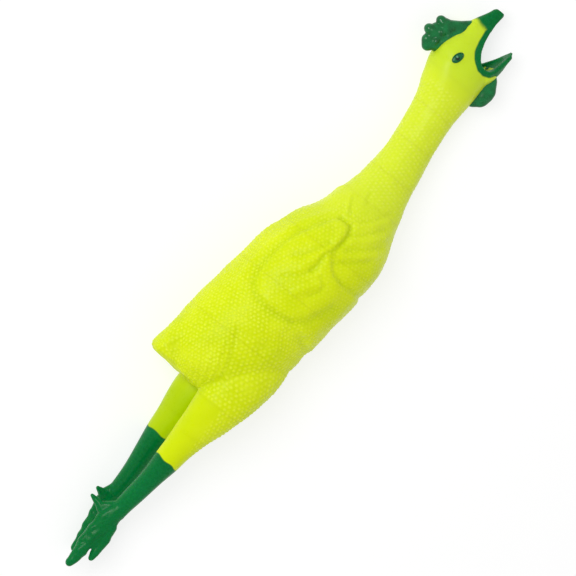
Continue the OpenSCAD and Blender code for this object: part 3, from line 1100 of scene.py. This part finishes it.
@dataclass
class Comb:
    """The soft three-lobed comb along the top of the head."""

    voxel: float = 0.36
    rounds: int = 14
    unevenness: float = 0.18

    def build(self) -> bpy.types.Object:
        """Builds the fused comb."""
        bm = bmesh.new()
        add_hull(bm, [
            Blob((198.4, 22.8, 18), (3.2, 3.8, 3.2)), Blob((202.8, 26.2, 18), (4.2, 3.8, 3.6)),
            Blob((204, 18, 18), (4, 4, 4.6)),
        ])
        add_hull(bm, [Blob((204, 22, 18), (3.4, 5.6, 4.2)), Blob((200.8, 20.6, 18), (3, 3, 3.4))])
        add_hull(bm, [Blob((209.4, 29.0, 18.2), (4.1, 4.8, 4)), Blob((210, 18, 18), (5.8, 5, 5))])
        add_hull(bm, [Blob((219.4, 26.0, 18.2), (3.8, 4.4, 3.8)), Blob((216, 16, 18), (5.8, 5, 5))])
        add_hull(bm, [
            Blob((219.4, 26.0, 18), (3.2, 3.4, 3.2)), Blob((220.6, 21.4, 18), (3.4, 4, 3.6)),
            Blob((214, 20, 18), (3, 4, 4.2)),
        ])
        add_hull(bm, [Blob((205.8, 25.8, 18), (3, 3.4, 3.6)), Blob((213.6, 26.2, 18), (3, 3.6, 3.8))])
        add_chain(bm, [
            Blob((219.8, 21.4, 18), (3.4, 4, 3.6)), Blob((222.6, 16.0, 18), (3.4, 4.6, 3.8)),
            Blob((226.4, 10.8, 18), (3.2, 3.8, 3.4)), Blob((231.4, 6.4, 18), (2.6, 2.2, 2.8)),
        ])
        add_chain(bm, [
            Blob((201.4, 16.4, 18), (2.6, 2.6, 3)), Blob((206, 16.6, 18), (4.6, 4, 5.4)),
            Blob((213, 14.4, 18), (4.6, 4, 6.2)), Blob((220, 10.6, 18), (4.6, 4, 5.6)),
            Blob((227, 6.0, 18), (4, 3, 4.4)), Blob((231.4, 4.0, 18), (2.4, 2, 2.8)),
        ])
        for blob in (
            Blob((205.6, 21.0, 18), (5.2, 3.0, 6.0)), Blob((213, 21.4, 18), (3.6, 4.2, 6.0)),
            Blob((219.0, 17.2, 18), (3.2, 4.0, 5.2)), Blob((209.6, 28.0, 18), (2.9, 3.2, 5.1)),
            Blob((218.6, 25.4, 18), (2.7, 3.2, 5.0)),
        ):
            blob.build(bm)
        piece = make_object("comb_form", bm)
        fuse(piece, self.voxel)
        relax(piece, self.rounds)
        points = points_mm(piece)
        normals = normals_of(piece)
        flanks = smoothstep(1.6, 3.4, np.abs(points[:, 2] - HEAD_MID_Z))
        height = self.unevenness * Relief().lumps(points, 3.8) * flanks
        place_points(piece, points + normals * height[:, None])
        relax(piece, 1)
        shade_smooth(piece)
        piece.name = "comb_lobes"
        return piece


@dataclass
class Wattle:
    """One soft lobe under the throat."""

    side: int
    offset: float = 5.6
    voxel: float = 0.45
    rounds: int = 34
    fold_height: float = 0.35

    def build(self) -> bpy.types.Object:
        """Builds the lobe, with its root inside the throat."""
        z = HEAD_MID_Z + self.side * self.offset
        bm = bmesh.new()
        add_chain(bm, [
            Blob((186.6, -28.6, z), (3, 2.8, 2.8)), Blob((192, -33.4, z), (4.6, 5.6, 3.6)),
            Blob((195.2, -34.6, z), (5.2, 6.7, 4)), Blob((198.8, -34.9, z), (5.4, 7.1, 4.2)),
            Blob((202.4, -34.4, z), (5.2, 6.8, 4)), Blob((206, -33.4, z), (5, 6, 3.8)),
            Blob((210.6, -31.4, z), (4, 4.2, 3)), Blob((214, -29.8, z), (3, 2.8, 2.4)),
        ])
        add_hull(bm, [
            Blob((193, -28, z), (5, 4, 3)), Blob((207, -29, z), (5, 3, 3)), Blob((200, -33, z), (6, 4, 3.4)),
        ])
        piece = make_object(f"{side_name(self.side)}_wattle_lobe", bm)
        fuse(piece, self.voxel)
        relax(piece, self.rounds)
        points = points_mm(piece)
        normals = normals_of(piece)
        fold = self.fold_height * np.sin(points[:, 0] * 0.5 + 0.6) * np.sin(points[:, 1] * 0.6)
        points = points + normals * fold[:, None]
        rest_on_floor(points)
        place_points(piece, points)
        shade_smooth(piece)
        return piece


@dataclass
class Eye:
    """A painted almond eye, domed and ringed by a soft lid."""

    side: int
    half_length: float = 4.7
    half_height: float = 2.55
    lid_radius: float = 0.42
    lid_height: float = 0.3

    def build(self) -> bpy.types.Object:
        """Builds the dome and the lid on one flank of the head."""
        bm = bmesh.new()
        almond = Matrix.Diagonal((self.half_length, self.half_height, 1.0, 1.0))
        bmesh.ops.create_uvsphere(bm, u_segments=40, v_segments=20, radius=1.0, matrix=almond)
        for v in bm.verts:
            v.co.y *= 1.0 - 0.16 * (v.co.x / self.half_length)
        upright = Matrix.Rotation(math.pi / 2, 4, "X")
        place = Matrix.Translation((self.half_length, 0, self.lid_height)) @ upright
        ring = bmesh.ops.create_circle(
            bm, cap_ends=False, segments=14, radius=self.lid_radius, matrix=place,
        )["verts"]
        bmesh.ops.spin(
            bm, geom=ring + list({e for v in ring for e in v.link_edges}), cent=(0, 0, 0),
            axis=(0, 0, 1), angle=2 * math.pi, steps=56, use_merge=True,
        )
        low = [v for v in bm.verts if abs(v.co.z - self.lid_height) < 0.5]
        lid = [v for v in low if v.co.length > 3.9 and not v.is_boundary]
        for v in lid:
            if math.hypot(v.co.x, v.co.y) > 3.95:
                v.co.y *= 0.58
        bmesh.ops.remove_doubles(bm, verts=bm.verts, dist=1e-5)
        bmesh.ops.recalc_face_normals(bm, faces=bm.faces)
        face_out = Matrix.Identity(4) if self.side > 0 else Matrix.Rotation(math.pi, 4, "X")
        spin = Matrix.Rotation(math.radians(-18.0), 4, "Z")
        at = Matrix.Translation((205.6, 4.9, HEAD_MID_Z + self.side * 15.7))
        slant = Matrix.Rotation(math.radians(-17.0 * self.side), 4, "X")
        slant = Matrix.Rotation(math.radians(8.0 * self.side), 4, "Y") @ slant
        bmesh.ops.transform(bm, matrix=at @ slant @ spin @ face_out, verts=bm.verts)
        piece = make_object(f"{side_name(self.side)}_eye_dome", bm)
        if self.side < 0:
            points = points_mm(piece)
            rest_on_floor(points)
            place_points(piece, points)
        shade_smooth(piece)
        return piece


# ---------------------------------------------------------------- finishes


class Value:
    """A shader socket that Python's operators work on."""

    def __init__(self, graph: "Graph", socket: bpy.types.NodeSocket) -> None:
        """Wraps one output socket of a graph."""
        self.graph = graph
        self.socket = socket

    def __add__(self, other: "Value | float") -> "Value":
        """Sum."""
        return self.graph.math("ADD", self, other)

    __radd__ = __add__

    def __sub__(self, other: "Value | float") -> "Value":
        """Difference."""
        return self.graph.math("SUBTRACT", self, other)

    def __rsub__(self, other: "Value | float") -> "Value":
        """Difference from a number."""
        return self.graph.math("SUBTRACT", other, self)

    def __mul__(self, other: "Value | float") -> "Value":
        """Product."""
        return self.graph.math("MULTIPLY", self, other)

    __rmul__ = __mul__


class Graph:
    """A material's node tree, built from Python expressions."""

    def __init__(self, name: str, places: str = "") -> None:
        """Starts an empty material.

        Args:
            name: the material's name.
            places: the attribute that patterns follow, or none for Object coordinates.
        """
        self.places = places
        self.material = bpy.data.materials.new(name)
        self.material.use_nodes = True
        self.tree = self.material.node_tree
        self.tree.nodes.clear()
        self.out = self.tree.nodes.new("ShaderNodeOutputMaterial")

    def node(self, kind: str, settings: dict, inputs: dict) -> bpy.types.Node:
        """Makes one node.

        Args:
            kind: the node's type.
            settings: its properties, set first.
            inputs: numbers, colours or links by socket name or number.

        Returns:
            The node.
        """
        made = self.tree.nodes.new(kind)
        for key, value in settings.items():
            if key == "stops":
                while len(made.color_ramp.elements) < len(value):
                    made.color_ramp.elements.new(0.5)
                for element, (position, colour) in zip(made.color_ramp.elements, value):
                    element.position = position
                    element.color = colour
            else:
                setattr(made, key, value)
        for key, value in inputs.items():
            socket = made.inputs[key]
            if isinstance(value, Value):
                self.tree.links.new(value.socket, socket)
            else:
                socket.default_value = value
        return made

    def math(self, operation: str, a: Value | float, b: Value | float = 0.0) -> Value:
        """A Math node on two values."""
        return Value(self, self.node("ShaderNodeMath", {"operation": operation}, {0: a, 1: b}).outputs[0])

    def coordinates(self, scale: float = 1.0) -> Value:
        """The pattern's coordinates times a number."""
        if self.places:
            source = self.node("ShaderNodeAttribute", {"attribute_name": self.places}, {}).outputs["Vector"]
        else:
            source = self.node("ShaderNodeTexCoord", {}, {}).outputs["Object"]
        at = Value(self, source)
        made = self.node("ShaderNodeMapping", {}, {"Vector": at, "Scale": (scale,) * 3})
        return Value(self, made.outputs[0])

    def noise(self, size_mm: float, detail: float = 2.0, roughness: float = 0.5) -> Value:
        """Soft noise whose features are about size_mm across."""
        made = self.node("ShaderNodeTexNoise", {}, {
            "Vector": self.coordinates(1.0 / (size_mm * MM)), "Scale": 1.0, "Detail": detail,
            "Roughness": roughness,
        })
        return Value(self, made.outputs["Fac"])

    def grains(self, size_mm: float) -> Value:
        """Distance from the middle of round cells about size_mm across."""
        at = self.coordinates(1.0 / (size_mm * MM))
        made = self.node("ShaderNodeTexVoronoi", {}, {"Vector": at, "Scale": 1.0})
        return Value(self, made.outputs["Distance"])

    def attribute(self, name: str) -> Value:
        """A number kept on the mesh."""
        return Value(self, self.node("ShaderNodeAttribute", {"attribute_name": name}, {}).outputs["Fac"])

    def ramp(self, value: Value, stops: list) -> Value:
        """A colour ramp."""
        return Value(self, self.node("ShaderNodeValToRGB", {"stops": stops}, {"Fac": value}).outputs["Color"])

    def span(self, value: Value, low: float, high: float, to_low: float = 0.0, to_high: float = 1.0) -> Value:
        """A value moved smoothly from one range to another."""
        made = self.node("ShaderNodeMapRange", {"interpolation_type": "SMOOTHSTEP"}, {
            "Value": value, "From Min": low, "From Max": high, "To Min": to_low, "To Max": to_high,
        })
        return Value(self, made.outputs[0])

    def mix(self, share: Value, a: "Value | Colour", b: "Value | Colour") -> Value:
        """A mix of two colours."""
        made = self.node("ShaderNodeMix", {"data_type": "RGBA"}, {0: share, 6: a, 7: b})
        return Value(self, made.outputs[2])

    def bump(self, height: Value, strength: float, depth_mm: float) -> Value:
        """A normal bent by a height."""
        made = self.node("ShaderNodeBump", {}, {
            "Height": height, "Strength": strength, "Distance": depth_mm * MM,
        })
        return Value(self, made.outputs[0])

    def surface(self, links: dict, constants: dict) -> bpy.types.Material:
        """Ends the graph in a Principled shader.

        Args:
            links: what varies over the surface.
            constants: what is the same all over it.

        Returns:
            The material.
        """
        shader = self.node("ShaderNodeBsdfPrincipled", {}, {**constants, **links})
        self.tree.links.new(shader.outputs[0], self.out.inputs["Surface"])
        return self.material


Colour = tuple[float, float, float, float]


@dataclass(frozen=True)
class PaintedVinyl:
    """Satin, slightly see-through glow vinyl, sprayed green where the skin's paint value is above 0, with
    painted highlights on the pimple tops and painted shade in the creases and on the far leg.
    """

    vinyl: Colour = (0.675, 0.80, 0.001, 1.0)
    vinyl_light: Colour = (0.73, 0.85, 0.01, 1.0)
    vinyl_deep: Colour = (0.63, 0.77, 0.0, 1.0)
    breast: Colour = (0.70, 0.84, 0.035, 1.0)
    # Colour of the painted shade on the far leg.
    shaded: Colour = (0.44, 0.62, 0.0, 1.0)
    # Colour of the painted shade in the tooled creases.
    creased: Colour = (0.57, 0.72, 0.0, 1.0)
    # Colours of the painted highlights on the pimple tops and on the neck's scale tops.
    pimple_top: Colour = (0.80, 0.90, 0.05, 1.0)
    scale_top: Colour = (0.80, 0.90, 0.13, 1.0)
    face: Colour = (0.585, 0.775, 0.028, 1.0)
    green: Colour = (0.0, 0.150, 0.030, 1.0)
    green_light: Colour = (0.0, 0.200, 0.044, 1.0)
    breast_fade: tuple[float, float] = (0.030, 0.100)
    face_fade: tuple[float, float] = (0.180, 0.204)
    grain_mm: float = 0.9
    ridge_width: float = 0.45
    gloss: float = 0.13
    glow_depth_mm: float = 2.4

    def build(self) -> bpy.types.Material:
        """Builds the material."""
        g = Graph("painted_vinyl", "moulded_at")
        cloud = g.noise(34.0, 2.0)
        speck = g.noise(2.4, 3.0, 0.6)
        paint = g.attribute("paint") + (speck - 0.5) * 0.5
        mask = g.span(paint, -1.0, 1.0)
        bare = g.ramp(cloud, [(0.3, self.vinyl_deep), (0.5, self.vinyl), (0.72, self.vinyl_light)])
        along = Value(g, g.node("ShaderNodeSeparateXYZ", {}, {0: g.coordinates()}).outputs[0])
        bare = g.mix(g.span(along, *self.breast_fade, 0.0, 0.8), bare, self.breast)
        bare = g.mix(g.span(along, *self.face_fade, 0.0, 0.85), bare, self.face)
        # Painted shade in the tooled creases.
        bare = g.mix(g.attribute("crease") * 0.6, bare, self.creased)
        # Painted highlights on the tops of the pimples and scales.
        top = g.mix(g.span(along, *self.breast_fade), self.pimple_top, self.scale_top)
        bare = g.mix(g.attribute("pimple") * 0.75, bare, top)
        # Painted shade on the far leg.
        bare = g.mix(g.attribute("far_leg"), bare, self.shaded)
        sprayed = g.ramp(speck * 0.5 + cloud * 0.5, [(0.3, self.green), (0.75, self.green_light)])
        colour = g.mix(mask, bare, sprayed)
        grain = g.grains(self.grain_mm) * 0.5 + g.noise(0.5, 2.0) * 0.5
        ridge = g.span(g.attribute("parting"), 0.0, self.ridge_width, 1.0, 0.0)
        rough = g.span(speck, 0.3, 0.7, 0.26, 0.38) - mask * 0.04
        return g.surface(
            {"Base Color": colour, "Roughness": rough, "Normal": g.bump(grain * 0.5 + ridge, 0.3, 0.3)},
            {
                "Subsurface Weight": 0.4, "Subsurface Radius": (1.0, 1.0, 0.12),
                "Subsurface Scale": self.glow_depth_mm * MM, "Specular IOR Level": self.gloss,
            },
        )


@dataclass(frozen=True)
class GlossGreen:
    """Thick glossy green paint on the comb and wattles."""

    deep: Colour = (0.0, 0.09, 0.018, 1.0)
    light: Colour = (0.0, 0.19, 0.045, 1.0)

    def build(self) -> bpy.types.Material:
        """Builds the material."""
        g = Graph("gloss_green")
        cloud = g.noise(6.0, 3.0)
        grain = g.noise(1.1, 3.0)
        colour = g.ramp(cloud, [(0.32, self.deep), (0.7, self.light)])
        rough = g.span(grain, 0.3, 0.7, 0.22, 0.34)
        return g.surface(
            {"Base Color": colour, "Roughness": rough, "Normal": g.bump(grain, 0.08, 0.3)},
            {"Specular IOR Level": 0.32, "Coat Weight": 0.15, "Coat Roughness": 0.15},
        )


@dataclass(frozen=True)
class EyePaint:
    """Green iris, dark pupil and a pale painted highlight as a glint, on one dome."""

    side: int
    iris: Colour = (0.0, 0.13, 0.035, 1.0)
    pupil: Colour = (0.0, 0.02, 0.006, 1.0)
    fleck: Colour = (0.16, 0.42, 0.22, 1.0)

    def build(self) -> bpy.types.Material:
        """Builds the material."""
        g = Graph(f"eye_paint_{side_name(self.side)}")
        at = Value(g, g.node("ShaderNodeTexCoord", {}, {}).outputs["Object"])
        parts = g.node("ShaderNodeSeparateXYZ", {}, {0: at})
        x, y = Value(g, parts.outputs[0]), Value(g, parts.outputs[1])
        dx, dy = (x - 0.2052) * 1000.0, (y - 0.0052) * 1000.0
        far = g.math("SQRT", dx * dx + dy * dy)
        # Centre of the eye's painted highlight.
        fx, fy = (x - 0.2058) * 1000.0, (y - 0.0060) * 1000.0
        fleck = g.math("SQRT", fx * fx + fy * fy)
        colour = g.mix(g.span(far, 1.9, 1.2), self.iris, self.pupil)
        # Painted highlight: a pale glint on the eye.
        colour = g.mix(g.span(fleck, 1.0, 0.5, 0.0, 0.8), colour, self.fleck)
        rough = g.span(g.noise(1.0), 0.3, 0.7, 0.22, 0.32)
        return g.surface({"Base Color": colour, "Roughness": rough}, {"Specular IOR Level": 0.4})


@dataclass(frozen=True)
class FloorFinish:
    """A pale light table."""

    colour: Colour = (0.36, 0.36, 0.36, 1.0)
    glow: float = 0.7

    def build(self) -> bpy.types.Material:
        """Builds the material."""
        return Graph("pale_floor").surface({}, {
            "Base Color": self.colour, "Roughness": 1.0, "Specular IOR Level": 0.0,
            "Emission Color": (1.0, 1.0, 1.0, 1.0), "Emission Strength": self.glow,
        })


# ---------------------------------------------------------------- studio


@dataclass
class Studio:
    """Camera, soft lights and the pale floor."""

    aim: tuple[float, float, float] = (1.8, -1.66, 38.75)
    roll: float = math.radians(51.3)
    distance: float = 3.0
    frame_width: float = 0.4104
    sensor: float = 36.0
    key_size: float = 0.7
    key_power: float = 14.0
    sky: float = 0.58

    def axes(self) -> tuple[Vector, Vector, Vector]:
        """The picture's right, its up and the way back to the camera."""
        along = Vector((1, 0, 0))
        across = Vector((0, math.cos(TILT), -math.sin(TILT)))
        back = Vector((0, math.sin(TILT), math.cos(TILT)))
        right = along * math.cos(self.roll) - across * math.sin(self.roll)
        up = along * math.sin(self.roll) + across * math.cos(self.roll)
        return right, up, back

    def camera(self) -> None:
        """Places the camera."""
        right, up, back = self.axes()
        data = bpy.data.cameras.new("camera")
        data.sensor_width = self.sensor
        data.lens = self.sensor * self.distance / self.frame_width
        data.clip_end = 20.0
        camera = bpy.data.objects.new("camera", data)
        bpy.context.scene.collection.objects.link(camera)
        turn = Matrix((right, up, back)).transposed().to_4x4()
        camera.matrix_world = Matrix.Translation(Vector(mm(self.aim)) + back * self.distance) @ turn
        bpy.context.scene.camera = camera

    def light(self, name: str, place: Vector, size: float, power: float) -> None:
        """Adds one soft square light that faces the chicken."""
        data = bpy.data.lights.new(name, "AREA")
        data.size = size
        data.energy = power
        lamp = bpy.data.objects.new(name, data)
        bpy.context.scene.collection.objects.link(lamp)
        aim = Vector(mm(self.aim))
        turn = (aim - place).to_track_quat("-Z", "Y").to_matrix().to_4x4()
        lamp.matrix_world = Matrix.Translation(place) @ turn

    def build(self) -> None:
        """Sets up the whole studio."""
        self.camera()
        right, up, back = self.axes()
        self.light("key", right * -0.3 + up * 0.26 + back * 1.75, self.key_size, self.key_power)
        world = bpy.data.worlds.new("world")
        world.use_nodes = True
        background = world.node_tree.nodes["Background"]
        background.inputs["Color"].default_value = (1, 1, 1, 1)
        background.inputs["Strength"].default_value = self.sky
        bpy.context.scene.world = world
        bpy.context.scene.view_settings.view_transform = "Standard"
        bm = bmesh.new()
        bmesh.ops.create_grid(bm, x_segments=2, y_segments=2, size=4.0)
        floor = make_object("floor", bm, 1.0)
        floor.data.materials.append(FloorFinish().build())


# ---------------------------------------------------------------- assembly


def dress_head(green: bpy.types.Material) -> None:
    """Adds the comb, the wattles and the eyes."""
    comb = Comb().build()
    comb.data.materials.append(green)
    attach(comb, "head")
    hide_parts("comb")
    for side in (1, -1):
        name = side_name(side)
        lobe = Wattle(side).build()
        lobe.data.materials.append(green)
        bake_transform(lobe)
        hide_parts(f"{name}_wattle")
        eye = Eye(side).build()
        eye.data.materials.append(EyePaint(side).build())
        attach(eye, "head")
        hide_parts(f"{name}_eye")
        LOG.info("%s eye and wattle made", name)


def main() -> None:
    """Builds the studio and the chicken."""
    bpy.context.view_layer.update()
    Studio().build()
    skin = Skin()
    skin.build()
    skin.dress(Relief(), Spray())
    vinyl = PaintedVinyl().build()
    for area, piece in skin.divide().items():
        piece.data.materials.append(vinyl)
        stretch = STRETCHES[area]
        stretch.bend.attach(piece)
        if stretch.nodes:
            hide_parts(*stretch.nodes)
        LOG.info("%s: %d faces", piece.name, len(piece.data.polygons))
    dress_head(GlossGreen().build())


if __name__ == "__main__":
    main()
